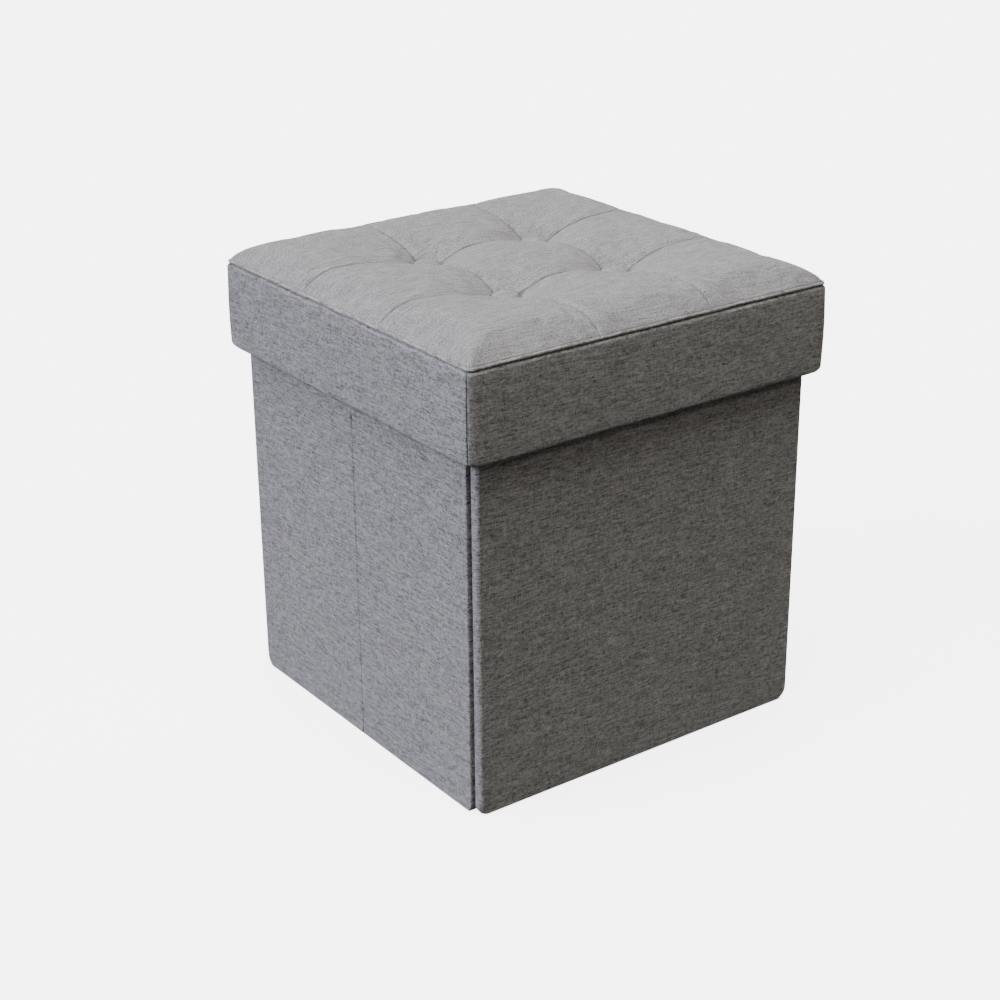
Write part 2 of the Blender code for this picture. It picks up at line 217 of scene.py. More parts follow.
class Shader:
    """A Principled material and short ways to add its nodes."""

    def __init__(self, name, roughness, metallic=0.0, sheen=0.0):
        self.mat = bpy.data.materials.new(name)
        self.mat.use_nodes = True
        self.tree = self.mat.node_tree
        self.bsdf = self.tree.nodes["Principled BSDF"]
        for socket, value in (("Roughness", roughness), ("Metallic", metallic),
                              ("Sheen Weight", sheen), ("Sheen Roughness", 0.6)):
            self.bsdf.inputs[socket].default_value = value
        coords = self.tree.nodes.new("ShaderNodeTexCoord")
        self.place = coords.outputs["Object"]
        split = self.tree.nodes.new("ShaderNodeSeparateXYZ")
        self.tree.links.new(self.place, split.inputs[0])
        self.x, self.y, self.z = split.outputs

    def feed(self, socket, value):
        """Links an output to a socket or sets its value; a tuple is a colour without its alpha."""
        if isinstance(value, bpy.types.NodeSocket):
            self.tree.links.new(value, socket)
        else:
            socket.default_value = (*value, 1.0) if isinstance(value, tuple) else value

    def math(self, a, b, operation="ADD", c=None):
        node = self.tree.nodes.new("ShaderNodeMath")
        node.operation = operation
        for socket, value in zip(node.inputs, (a, b, c)):
            if value is not None:
                self.feed(socket, value)
        return node.outputs[0]

    def times(self, a, b):
        return self.math(a, b, "MULTIPLY")

    def absolute(self, value):
        return self.math(value, 0.0, "ABSOLUTE")

    def sine(self, value, pitch):
        """A sine wave that repeats every two pitches."""
        return self.math(self.times(value, math.pi / pitch), 0.0, "SINE")

    def vector(self, x, y, z=0.0):
        node = self.tree.nodes.new("ShaderNodeCombineXYZ")
        for socket, value in zip(node.inputs, (x, y, z)):
            self.feed(socket, value)
        return node.outputs[0]

    def noise(self, where, scale, detail=2.0, roughness=0.5):
        node = self.tree.nodes.new("ShaderNodeTexNoise")
        self.feed(node.inputs["Vector"], where)
        node.inputs["Scale"].default_value = scale
        node.inputs["Detail"].default_value = detail
        node.inputs["Roughness"].default_value = roughness
        return node.outputs["Fac"]

    def remap(self, value, low, high, to_low=0.0, to_high=1.0):
        node = self.tree.nodes.new("ShaderNodeMapRange")
        node.interpolation_type = "SMOOTHSTEP"
        for socket, number in zip(node.inputs, (value, low, high, to_low, to_high)):
            self.feed(socket, number)
        return node.outputs[0]

    def mix(self, factor, first, second):
        node = self.tree.nodes.new("ShaderNodeMix")
        node.data_type = "RGBA"
        self.feed(node.inputs["Factor"], factor)
        self.feed(node.inputs["A"], first)
        self.feed(node.inputs["B"], second)
        return node.outputs["Result"]

    def colour(self, value):
        self.feed(self.bsdf.inputs["Base Color"], value)

    def bump(self, height, distance, strength=1.0):
        node = self.tree.nodes.new("ShaderNodeBump")
        self.feed(node.inputs["Height"], height)
        node.inputs["Distance"].default_value = distance
        node.inputs["Strength"].default_value = strength
        self.tree.links.new(node.outputs[0], self.bsdf.inputs["Normal"])


def scaled(colour, factor):
    return tuple(min(1.0, channel * factor) for channel in colour)


def linen(name, colour, weights, contrast_band, drift, fleck_size, mapped=False):
    """Heathered plain weave: each yarn has its own tone, which drifts along its length.

    The weights share the tone between yarns, flecks, long streaks and clouds. contrast_band is how
    much of the noise's range is used: less is more contrast. drift is how often per metre a yarn's
    tone changes. A mapped piece carries its flat cloth coordinates in its "weave" attribute. On the
    others, which stand upright, |x| - |y| runs along the weft, round the corners, and Z up the warp.
    """
    shade = Shader(name, roughness=0.93, sheen=0.10)
    if mapped:
        node = shade.tree.nodes.new("ShaderNodeAttribute")
        node.attribute_name = "weave"
        split = shade.tree.nodes.new("ShaderNodeSeparateXYZ")
        shade.tree.links.new(node.outputs["Vector"], split.inputs[0])
        along, up, side = split.outputs
    else:
        along = shade.math(shade.absolute(shade.x), shade.absolute(shade.y), "SUBTRACT")
        up = shade.z
        side = shade.times(shade.math(shade.x, shade.y), 40.0)

    def streaks(per_metre_along, per_metre_up, detail):
        where = shade.vector(shade.times(along, per_metre_along), shade.times(up, per_metre_up), side)
        return shade.noise(where, 1.0, detail)

    def row(distance):
        """A number for each yarn, far enough from its neighbour's to give it another tone."""
        return shade.times(shade.math(shade.times(distance, 1 / YARN), 0.0, "FLOOR"), 5.37)

    weft = shade.noise(shade.vector(shade.times(along, drift), row(up), side), 1.0, 1.5)
    warp = shade.noise(shade.vector(row(along), shade.times(up, 1.2 * drift), side), 1.0, 1.5)
    lap = shade.times(shade.sine(along, YARN), shade.sine(up, YARN))
    warp_on_top = shade.math(lap, 0.0, "GREATER_THAN")
    weft_on_top = shade.math(1.0, warp_on_top, "SUBTRACT")
    yarn = shade.math(shade.times(weft, weft_on_top), shade.times(warp, warp_on_top))
    flecks = streaks(*fleck_size, 2.0)
    long_streaks = streaks(42, 560, 2.0)
    clouds = shade.noise(shade.vector(along, up, side), 95.0, 3.0)

    tone = 0.0
    for layer, weight in zip((yarn, flecks, long_streaks, clouds), weights):
        clear = shade.remap(layer, 0.5 - contrast_band, 0.5 + contrast_band)
        tone = shade.math(tone, shade.times(clear, weight))
    base = shade.mix(tone, scaled(colour, 0.20), scaled(colour, 1.84))
    tint = shade.remap(streaks(90, 640, 1.0), 0.58, 0.70)
    shade.colour(shade.mix(shade.times(tint, 0.16), base, (0.36, 0.27, 0.22)))
    relief = shade.math(shade.absolute(lap), shade.times(yarn, 0.8))
    shade.bump(relief, distance=0.00022, strength=0.8)
    return shade.mat


def threads(shade, along, pitch):
    """Rounded ridges, two to each pitch."""
    return shade.absolute(shade.sine(along, pitch / 2))


def nonwoven(name, colour):
    """Thin pressed-fibre lining with a fine embossed dot pattern."""
    shade = Shader(name, roughness=0.88, sheen=0.05)
    across = shade.math(shade.x, shade.y)
    fibres = shade.noise(shade.place, 900.0, 4.0, 0.7)
    dots = shade.times(threads(shade, shade.math(across, shade.z), 0.0032),
                       threads(shade, shade.math(across, shade.z, "SUBTRACT"), 0.0032))
    shade.colour(shade.mix(fibres, scaled(colour, 0.65), scaled(colour, 1.5)))
    shade.bump(shade.math(shade.times(dots, 0.8), shade.times(fibres, 0.5)), distance=0.00025)
    return shade.mat


def fibreboard(name, colour):
    """Pressed wood fibre with fine flecks."""
    shade = Shader(name, roughness=0.78)
    flecks = shade.noise(shade.place, 700.0, 5.0, 0.65)
    patches = shade.noise(shade.place, 40.0, 2.0)
    tone = shade.math(shade.times(flecks, 0.75), shade.times(patches, 0.25))
    shade.colour(shade.mix(shade.remap(tone, 0.3, 0.7), scaled(colour, 0.7), scaled(colour, 1.3)))
    shade.bump(flecks, distance=0.0002)
    return shade.mat


def foam(name, colour):
    """Open-cell foam."""
    shade = Shader(name, roughness=0.95)
    cells = shade.noise(shade.place, 1400.0, 3.0, 0.7)
    shade.colour(shade.mix(shade.remap(cells, 0.3, 0.6), scaled(colour, 0.6), scaled(colour, 1.1)))
    shade.bump(cells, distance=0.0006)
    return shade.mat


def steel(name, colour):
    """Plain zinc-plated steel with faint grain."""
    shade = Shader(name, roughness=0.34, metallic=1.0)
    grain = shade.noise(shade.place, 1500.0, 2.0)
    shade.colour(shade.mix(grain, scaled(colour, 0.85), scaled(colour, 1.1)))
    shade.feed(shade.bsdf.inputs["Roughness"], shade.remap(grain, 0.2, 0.8, 0.28, 0.42))
    shade.bump(grain, distance=0.00003)
    return shade.mat


def thread(name, colour):
    """Twisted sewing thread."""
    shade = Shader(name, roughness=0.70, sheen=0.1)
    twist = threads(shade, shade.math(shade.math(shade.x, shade.y), shade.z), 0.0006)
    shade.colour(shade.mix(twist, scaled(colour, 0.7), scaled(colour, 1.2)))
    shade.bump(twist, distance=0.00008)
    return shade.mat


LOOKS = {
    "linen_mapped": linen("linen_mapped", GREY, (0.36, 0.30, 0.22, 0.12), 0.20, 720, (560, 620),
                          mapped=True),
    "linen": linen("linen_upright", GREY, (0.40, 0.22, 0.20, 0.18), 0.085, 240, (220, 780)),
    "lining": nonwoven("lining_cloth", (0.095, 0.093, 0.090)),
    "board": fibreboard("fibreboard", (0.44, 0.32, 0.20)),
    "foam": foam("seat_foam", (0.78, 0.74, 0.62)),
    "steel": steel("washer_steel", (0.60, 0.60, 0.61)),
    "thread": thread("sewing_thread", (0.22, 0.215, 0.21)),
}


def dress(obj, look, body, *nodes):
    """Gives a piece its material and slot, puts it on its body and lets it stand for CAD nodes."""
    obj.data.materials.clear()
    obj.data.materials.append(LOOKS[look])
    if body:
        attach(obj, body)
    if nodes:
        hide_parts(*nodes)
    return obj


# --- stitches ---

def stitches(name, path, normal, body, pitch=0.0040, radius=0.00038):
    """A row of separate thread stitches lying along a path of points."""
    normal = Vector(normal)
    shape = ((-0.40, 0.35), (-0.26, 1.0), (0.26, 1.0), (0.40, 0.35))    # place along, and swell
    around = [math.tau * i / 5 for i in range(5)]
    verts, faces = [], []
    for start, end in zip(path, path[1:]):
        start, end = Vector(start), Vector(end)
        run = end - start
        across = normal.cross(run.normalized())
        count = max(1, round(run.length / pitch))
        for i in range(count):
            middle = start + run * (i + 0.5) / count
            first = len(verts)
            for along, swell in shape:
                spot = middle + run * along / count
                wide = radius * swell
                verts += [spot + (across * math.cos(a) + normal * math.sin(a)) * wide
                          for a in around]
            for ring in range(3):
                low = first + 5 * ring
                faces += [(low + k, low + (k + 1) % 5, low + 5 + (k + 1) % 5, low + 5 + k)
                          for k in range(5)]
            faces.append(tuple(first + k for k in reversed(range(5))))
            faces.append(tuple(first + 15 + k for k in range(5)))
    mesh = bpy.data.meshes.new(name)
    mesh.from_pydata(verts, [], faces)
    return dress(link(name, mesh), "thread", body)


# --- lid: tufted top ---

def edge_height(x, y):
    """How much of the plateau's height is reached at a point, by its distance inside the border."""
    from_x, from_y = (max(1e-6, TOP_HALF - abs(value)) for value in (x, y))
    reach = (from_x ** -5 + from_y ** -5) ** (-1 / 5)    # the lesser of the two, rounded off
    part = min(1.0, (reach + EDGE_BULGE) / ROLL)
    return 1.0 - (1.0 - part) ** ROLL_POWER


def seam_distance(x, y):
    return min(abs(abs(x) - TUFT), abs(abs(y) - TUFT))


def button_distance(x, y):
    """Distance from the rim of the nearest button, zero under it."""
    return max(0.0, math.hypot(abs(x) - TUFT, abs(y) - TUFT) - BUTTON_R)


def top_height(x, y):
    """Height of the tufted top before it is puffed: rolled edge, seams, and the pull of the buttons.

    Along a seam the pull of every button reaches far; a panel springs back beside its button. The
    sewn line is a sharp crease, deeper and wider beside a button, with a groove round the button.
    """
    away = seam_distance(x, y)
    nearest = button_distance(x, y)
    on_seam = max(0.0, 1.0 - away / SEAM_SPREAD) ** 2.2
    pull_seam = SEAM_DIP
    for sx in (-1, 1):
        for sy in (-1, 1):
            outside = max(0.0, math.hypot(x - sx * TUFT, y - sy * TUFT) - BUTTON_R)
            pull_seam += PULL * math.exp(-(outside / SEAM_REACH) ** 1.2)
    pull_panel = PULL * math.exp(-nearest / PANEL_REACH)
    beside = math.exp(-(nearest / 0.0040) ** 2)
    crease_deep = 0.0024 + 0.0036 * beside
    crease_wide = 0.0009 + 0.0017 * beside
    crease = crease_deep * math.exp(-(away / crease_wide) ** 2)
    groove = 0.0018 * math.exp(-((nearest - 0.0006) / 0.0011) ** 2)
    drop = on_seam * min(pull_seam, PULL + SEAM_DIP) + (1.0 - on_seam) * pull_panel + groove
    inside = edge_height(x, y)
    return TOP_EDGE + (TOP_RISE - drop) * inside - crease * min(1.0, 2.5 * inside)


def graded(start, end, spacing):
    """Values from start to end whose steps follow spacing(value)."""
    values = [start]
    while values[-1] < end:
        values.append(values[-1] + spacing(values[-1]))
    fit = (end - start) / (values[-1] - start)
    return [start + (value - start) * fit for value in values]


def clustered_lines():
    """Grid lines across the top: closest at the seams, and close at the edges."""
    def spacing(x):
        return min(0.0024, 0.0004 + 0.05 * abs(x - TUFT), 0.0007 + 0.08 * max(0.0, TOP_HALF - x))

    half = graded(0.0, TUFT, spacing) + graded(TUFT, TOP_HALF, spacing)[1:]
    return [-x for x in reversed(half[1:])] + half


def rounded_corner(x, y, half, radius):
    """Moves a point of a square's corner onto a round corner."""
    start = half - radius
    across, along = abs(x) - start, abs(y) - start
    if across <= 0.0 or along <= 0.0:
        return x, y
    shrink = max(across, along) / math.hypot(across, along)
    return (math.copysign(start + across * shrink, x), math.copysign(start + along * shrink, y))


def puffed_field(cells=72, limit=0.0016):
    """Blows the top up as cloth held at edge, seams and buttons; gives its movements on a grid."""
    side = spread(-TOP_HALF, TOP_HALF, cells)
    moves = np.zeros((cells + 1, cells + 1, 3))
    sheet = sheet_from([[Vector((x, y, top_height(x, y))) for x in side] for y in side], "puff_sheet")
    held = sheet.vertex_groups.new(name="held")
    step = side[1] - side[0]
    for vert in sheet.data.vertices:
        x, y = vert.co.x, vert.co.y
        on_edge = max(abs(x), abs(y)) > TOP_HALF - 0.6 * step
        button = math.hypot(abs(x) - TUFT, abs(y) - TUFT) < BUTTON_R
        if on_edge or button:
            held.add([vert.index], 1.0, "REPLACE")
        elif seam_distance(x, y) < 0.6 * step:
            held.add([vert.index], 0.85, "REPLACE")
    cloth = sheet.modifiers.new("puff", "CLOTH")
    cloth.settings.quality = 8
    cloth.settings.mass = 0.25
    cloth.settings.tension_stiffness = 22.0
    cloth.settings.compression_stiffness = 14.0
    cloth.settings.bending_stiffness = 0.35
    cloth.settings.shrink_min = -0.006
    cloth.settings.vertex_group_mass = "held"
    cloth.settings.use_pressure = True
    cloth.settings.uniform_pressure_force = 0.35
    cloth.settings.effector_weights.gravity = 0.0
    cloth.collision_settings.use_collision = False
    for number in range(1, 21):
        bpy.context.scene.frame_set(number)
    shaped = sheet.evaluated_get(bpy.context.evaluated_depsgraph_get()).to_mesh()
    for vert, start in zip(shaped.vertices, sheet.data.vertices):
        move = vert.co - start.co
        if move.length > limit:
            move *= limit / move.length
        moves[divmod(vert.index, cells + 1)] = move
    bpy.context.scene.frame_set(1)
    bpy.data.objects.remove(sheet)
    return side, moves


def sampled(side, moves, x, y):
    """The puffed movement at a point, read between grid points."""
    step = side[1] - side[0]
    u = min(max((x - side[0]) / step, 0.0), len(side) - 1.001)
    v = min(max((y - side[0]) / step, 0.0), len(side) - 1.001)
    i, j = int(u), int(v)
    u, v = u - i, v - j
    low = moves[j, i] * (1 - u) + moves[j, i + 1] * u
    high = moves[j + 1, i] * (1 - u) + moves[j + 1, i + 1] * u
    return low * (1 - v) + high * v


def pucker(x, y):
    """Small gathers that run out from the seams and the buttons."""
    away = seam_distance(x, y)
    along = x if abs(abs(y) - TUFT) < abs(abs(x) - TUFT) else y
    gather = ripple((along, away * 0.25, math.copysign(1.0, x)), 0.0085)
    button = button_distance(x, y)
    angle = math.atan2(abs(y) - TUFT, abs(x) - TUFT)
    rays = ripple((math.cos(angle) * 1.6, math.sin(angle) * 1.6, x + y), 0.45, 2.0)
    at_seam = 0.00055 * gather * math.exp(-away / 0.006)
    at_button = 0.0016 * rays * math.exp(-button / 0.012) * (1.0 - math.exp(-button / 0.003))
    return at_seam + at_button


def lid_top():
    """The tufted fabric of the lid, one sheet with thickness, sewn in under the welt at its edge."""
    side, moves = puffed_field()
    lines = clustered_lines()
    grid = []
    for y in lines:
        row = []
        for x in lines:
            free = min(1.0, seam_distance(x, y) / 0.004, button_distance(x, y) / 0.008)
            shift = Vector(sampled(side, moves, x, y)) * free
            flat = Vector((*rounded_corner(x, y, TOP_HALF, TOP_CORNER), top_height(x, y)))
            inside = edge_height(x, y)
            lift = pucker(x, y) + 0.0006 * ripple((x, y, 0.0), 0.045, 5.0)
            row.append(flat + shift + Vector((0, 0, lift * inside)))
        grid.append(row)
    grid = framed(grid, lines)
    top = sheet_from(grid, "lid_top_fabric")
    weave_map(top, grid)
    thick = top.modifiers.new("thickness", "SOLIDIFY")
    thick.thickness = CLOTH
    thick.offset = -1.0
    apply_modifiers(top)
    dress(top, "linen_mapped", "lid", "lid_top_cover")


def framed(grid, lines):
    """Adds the sewn-in margin round a grid of points: it drops into the seam, under the welt."""
    for half, corner in ((TOP_HALF + 0.0002, TOP_CORNER), (WELT_LINE, WELT_CORNER)):
        grow = half / TOP_HALF

        def margin(x, y):
            return Vector((*rounded_corner(x * grow, y * grow, half, corner), SEAM_Z - 0.0034))

        rows = [[margin(lines[0], y), *row, margin(lines[-1], y)] for y, row in zip(lines, grid)]
        ends = [[margin(x, y) for x in (lines[0], *lines, lines[-1])] for y in (lines[0], lines[-1])]
        grid = [ends[0], *rows, ends[1]]
        lines = [lines[0], *lines, lines[-1]]
    return grid


def sheet_from(grid, name):
    """A single-sided sheet through a grid of points, facing up."""
    bm = bmesh.new()
    skin(bm, [[bm.verts.new(point) for point in row] for row in grid], closed=False)
    bm.normal_update()
    mesh = bpy.data.meshes.new(name)
    bm.to_mesh(mesh)
    bm.free()
    return link(name, mesh)


def weave_map(obj, grid):
    """Stores cloth coordinates, measured along the cloth from its middle, as the weave attribute."""
    places = np.array([[tuple(point) for point in row] for row in grid])
    steps_u = np.linalg.norm(np.diff(places, axis=1), axis=2)
    steps_v = np.linalg.norm(np.diff(places, axis=0), axis=2)
    u = np.concatenate([np.zeros((len(grid), 1)), np.cumsum(steps_u, axis=1)], axis=1)
    v = np.concatenate([np.zeros((1, len(grid[0]))), np.cumsum(steps_v, axis=0)], axis=0)
    u -= u[:, u.shape[1] // 2, None]
    v -= v[None, v.shape[0] // 2, :]
    weave = np.stack([u, v, np.zeros_like(u)], axis=2)
    layer = obj.data.attributes.new("weave", "FLOAT_VECTOR", "POINT")
    layer.data.foreach_set("vector", weave.astype(np.float32).ravel())


def apply_modifiers(obj):
    """Makes the modifiers' result the mesh, without faces of no area."""
    shaped = obj.evaluated_get(bpy.context.evaluated_depsgraph_get())
    obj.data = bpy.data.meshes.new_from_object(shaped)
    obj.modifiers.clear()
    bm = bmesh.new()
    bm.from_mesh(obj.data)
    bmesh.ops.dissolve_degenerate(bm, edges=bm.edges, dist=MERGE)
    bm.to_mesh(obj.data)
    bm.free()


def foam_block():
    """The foam under the fabric, a little lower than it everywhere."""
    half = TOP_HALF - FOAM_INSET
    lines = [x * half / TOP_HALF for x in clustered_lines()[::2]]
    grid = [[Vector((*rounded_corner(x, y, half, TOP_CORNER), top_height(x, y) - FOAM_DROP))
             for x in lines] for y in lines]
    block = sheet_from(grid, "lid_foam_block")
    thicken_down(block, FOAM_LOW)
    dress(crisp(block), "foam", "lid", "lid_foam")


def thicken_down(obj, level):
    """Makes a sheet a solid with a flat underside at a level."""
    bm = bmesh.new()
    bm.from_mesh(obj.data)
    rim = [edge.verts[:] for edge in bm.edges if edge.is_boundary]
    sheet = [face.verts[:] for face in bm.faces]
    under = {vert: bm.verts.new((vert.co.x, vert.co.y, level)) for vert in bm.verts[:]}
    for corners in sheet:
        bm.faces.new([under[vert] for vert in reversed(corners)])
    for first, second in rim:
        bm.faces.new((first, second, under[second], under[first]))
    bmesh.ops.recalc_face_normals(bm, faces=bm.faces[:])
    bm.to_mesh(obj.data)
    bm.free()


# --- lid: welt, buttons, skirt ---

def square_path(half, corner, straight, steps):
    """Points and outward directions round a square with round corners, anticlockwise from above."""
    path = []
    start = half - corner
    for quarter in range(4):
        turn = Matrix.Rotation(quarter * math.pi / 2, 3, "Z")
        for x in spread(-start, start, straight)[:-1]:
            path.append((turn @ Vector((x, -half, 0)), turn @ Vector((0, -1, 0))))
        for angle in spread(-90, 0, steps)[:-1]:
            out = Vector((math.cos(math.radians(angle)), math.sin(math.radians(angle)), 0))
            path.append((turn @ (Vector((start, -start, 0)) + out * corner), turn @ out))
    return path


def welt():
    """The sewn flange round the top seam: a soft flattened cord in a strip of fabric."""
    rings = []
    for spot, out in square_path(WELT_LINE, WELT_CORNER, 110, 10):
        swell = 1.0 + 0.10 * ripple(spot, 0.012, 1.0)
        lift = 0.0004 * ripple(spot, 0.030, 4.0)
        ring = []
        for degrees in spread(0, 360, 14)[:-1]:
            angle = math.radians(degrees)
            wide = WELT_R * swell * math.cos(angle)
            tall = WELT_R * swell * math.sin(angle)
            ring.append(spot + out * (wide - 0.15 * tall) + Vector((0, 0, SEAM_Z + lift + tall)))
        rings.append(ring)
    cord = loft("lid_welt_flange", rings, capped=False, looped=True)
    dress(cord, "linen", "lid", "lid_welt")


def button(name, x, y):
    """A fabric-covered button: low dome, gathered under its rim, with its stem."""
    segments = 48
    dome = [(math.sin(a), math.cos(a)) for a in (math.radians(d) for d in spread(4, 90, 12))]
    profile = [(BUTTON_R * r, BUTTON_THICK * (0.25 + 0.75 * h ** 0.8)) for r, h in dome]
    profile += [(BUTTON_R * 0.97, 0.0005), (BUTTON_R * 0.88, 0.0001), (0.0020, 0.0003)]
    profile += [(STEM_R, -0.0010), (STEM_R, LID_LOW + 0.0013 - SEAT)]
    rings = []
    for radius, height in profile:
        ring = []
        for i in range(segments):
            angle = math.tau * i / segments
            fold = ripple((math.cos(angle) * 2.2, math.sin(angle) * 2.2, x * 9), 0.6, 7.0)
            near_rim = (radius / BUTTON_R) ** 4
            reach = radius * (1.0 + 0.020 * fold * near_rim)
            ring.append(Vector((x + reach * math.cos(angle), y + reach * math.sin(angle),
                                SEAT + height - 0.0005 * fold * near_rim)))
        rings.append(ring)
    piece = loft(f"covered_button_{name}", list(reversed(rings)))
    flat_map(piece)
    dress(piece, "linen_mapped", "lid", f"tuft_button_{name}")


def flat_map(obj):
    """Weave coordinates for a small level piece: X and Y, plus Z to carry on over its edges."""
    layer = obj.data.attributes.new("weave", "FLOAT_VECTOR", "POINT")
    for item, vert in zip(layer.data, obj.data.vertices):
        item.vector = (vert.co.x + vert.co.z, vert.co.y + vert.co.z, 0.0)


def skirt_section():
    """The skirt's section as (depth, height) points: outer face, turned edge, inner face, pocket."""
    low = SKIRT_LOW
    shoulder = SEAM_Z - 0.0052
    bend, back_bend = 0.0031, 0.0022
    fullness = 0.0004
    top_inside = LID_LOW - 0.0004
    pocket_low = low + 0.0018
    outer = [(0.0046, SEAM_Z - 0.0021)] + arc((bend, shoulder), bend, 80, 180, 8)
    outer += [(-fullness * math.sin(math.pi * t), shoulder - t * (shoulder - low - bend))
              for t in spread(0.0, 1.0, 14)[1:]]
    under = arc((bend, low + bend), bend, 180, 270, 5)[1:]
    under += arc((SKIRT_THICK - back_bend, low + back_bend), back_bend, 270, 360, 4)
    inside = [(SKIRT_THICK, z) for z in spread(low + 0.0060, top_inside, 6)]
    pocket = [(SKIRT_THICK - 0.0010, z) for z in spread(top_inside, pocket_low, 6)]
    pocket += [(0.0018, z) for z in spread(pocket_low, shoulder - 0.0010, 10)]
    return outer + under + inside + pocket


def skirt_outline(full):
    """Outer points along one side of the skirt, from above, facing -Y, mitred towards its neighbours.

    The front and back panels are full: their ends round off towards the seams at the corners.
    """
    if full:
        centre = (LID_HALF - 0.0002 - CORNER_WIDE, -LID_HALF + CORNER_DEEP)
        angles = [math.radians(a) for a in (90, 75, 60, 48, 37, 27, 18, 10, 4, 0)]
        end = [(centre[0] + CORNER_WIDE * math.cos(a), centre[1] - CORNER_DEEP * math.sin(a))
               for a in angles]
    else:
        last = LID_HALF - CORNER_DEEP - 0.0005
        end = [(last - back, -LID_HALF) for back in (0.0030, 0.0014, 0.0006, 0.0)]
    middle = [(x, -LID_HALF) for x in spread(-end[0][0], end[0][0], 50)[1:-1]]
    return [(-x, y) for x, y in reversed(end)] + middle + end


def seam_pull(i, count):
    """How far the edge of a panel turns in at its seams."""
    return (0.0036, 0.0006, 0.0)[min(i, count - 1 - i, 2)]


def corner_lift(x):
    """The skirt's lower edge rises a little towards its corners."""
    return 0.0021 * math.exp(-((LID_HALF - abs(x)) / 0.0060) ** 2)


def skirt_panel(side, turn, full):
    """One fabric panel of the skirt, swept along its side of the lid."""
    section = skirt_section()
    outline = skirt_outline(full)
    inner = LID_HALF - SKIRT_THICK
    about = Matrix.Rotation(turn, 3, "Z")
    rings = []
    for i, (x, y) in enumerate(outline):
        face = Vector((x, y, 0))
        inward = Vector((min(max(x, -inner), inner), -inner, 0)) - face
        pull = seam_pull(i, len(outline))
        ring = []
        for depth, height in section:
            near_low = max(0.0, 1.0 - (height - SKIRT_LOW) / 0.012)
            wave = 0.0005 * ripple((x, 0.0, height), 0.05, len(side))
            rise = near_low * (corner_lift(x) + 0.0006 * ripple((x, 1.0, 0.0), 0.06, len(side)))
            turned = depth + (pull + wave if depth < 0.0025 else 0.0)
            spot = face + inward * (turned / SKIRT_THICK) + Vector((0, 0, height + rise))
            ring.append(about @ spot)
        rings.append(ring)
    panel = crisp(loft(f"skirt_{side}_fabric", rings), 50.0)
    dress(panel, "linen", "lid", f"skirt_{side}_cover")


def skirt_board(side, turn):
    """The board inside a skirt panel; its lower edge rises at the corners as the fabric's does."""
    low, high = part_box("skirt_front_board")
    about = Matrix.Rotation(turn, 3, "Z")
    end = LID_HALF - 0.0042
    rings = []
    for share in spread(-1.0, 1.0, 50):
        foot = low.z + corner_lift(share * end)
        corners = ((end, low.y, foot), (end, low.y, high.z),
                   (-high.y, high.y, high.z), (-high.y, high.y, foot))
        rings.append([about @ Vector((share * wide, y, z)) for wide, y, z in corners])
    dress(crisp(loft(f"skirt_{side}_board_core", rings)), "board", "lid", f"skirt_{side}_board")


def lid():
    lid_top()
    foam_block()
    welt()
    for end, sy in ENDS:
        for side, sx in SIDES:
            button(f"{end}_{side}", sx * TUFT, sy * TUFT)
    for side, turn, full in (("front", 0.0, True), ("right", math.pi / 2, False),
                             ("back", math.pi, True), ("left", -math.pi / 2, False)):
        skirt_panel(side, turn, full)
        skirt_board(side, turn)
    lid_lining()


def lid_lining():
    """The lining stretched under the lid's board, and its stitches."""
    low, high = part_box("lid_lining")
    lining = lining_sheet("lid_lining_cloth", high.x, high.y, 0.0, high.z - low.z)
    lining.data.transform(Matrix.Translation((0, 0, low.z)))
    dress(lining, "lining", "lid", "lid_lining")
    edge = high.x - SEAM_INSET
    corners = [(-edge, -edge), (edge, -edge), (edge, edge), (-edge, edge), (-edge, -edge)]
    stitches("lid_lining_stitches", [(x, y, low.z) for x, y in corners], (0, 0, -1), "lid")


# --- wall panels ---

def lining_sheet(name, half_x, half_y, soft, thick):
    """A thin sheet with rounded edges, slightly uneven, lying in the XY plane from Z = 0."""
    steps_x, steps_y = (max(8, int(2 * half / 0.012)) for half in (half_x, half_y))
    bm = bmesh.new()
    layers = []
    for level, inset in ((0.0, 0.15), (0.5, 0.0), (1.0, 0.15)):
        trim = inset * thick
        rows = []
        for y in spread(-half_y + trim, half_y - trim, steps_y):
            points = [(x, y, level * thick + soft * ripple((x, y, level), 0.05, 2.0))
                      for x in spread(-half_x + trim, half_x - trim, steps_x)]
            rows.append([bm.verts.new(point) for point in points])
        layers.append(rows)
    bottom, _, top = layers
    skin(bm, bottom, closed=False)
    skin(bm, top, closed=False)
    rims = [[*rows[0], *[row[-1] for row in rows[1:]], *reversed(rows[-1][:-1]),
             *[row[0] for row in reversed(rows[1:-1])]] for rows in layers]
    skin(bm, rims, closed=True)
    return crisp(finish_mesh(name, bm), 50.0)


def foot_trim(height, foot, gap=0.0):
    """How far a panel's end stands back at a height, because its lower corner is rounded.

    foot is the corner's radius. A gap gives the line that runs this far inside the corner.
    """
    rise = max(0.0, foot - height)
    return foot - math.sqrt(max(0.0, (foot - gap) ** 2 - rise * rise))


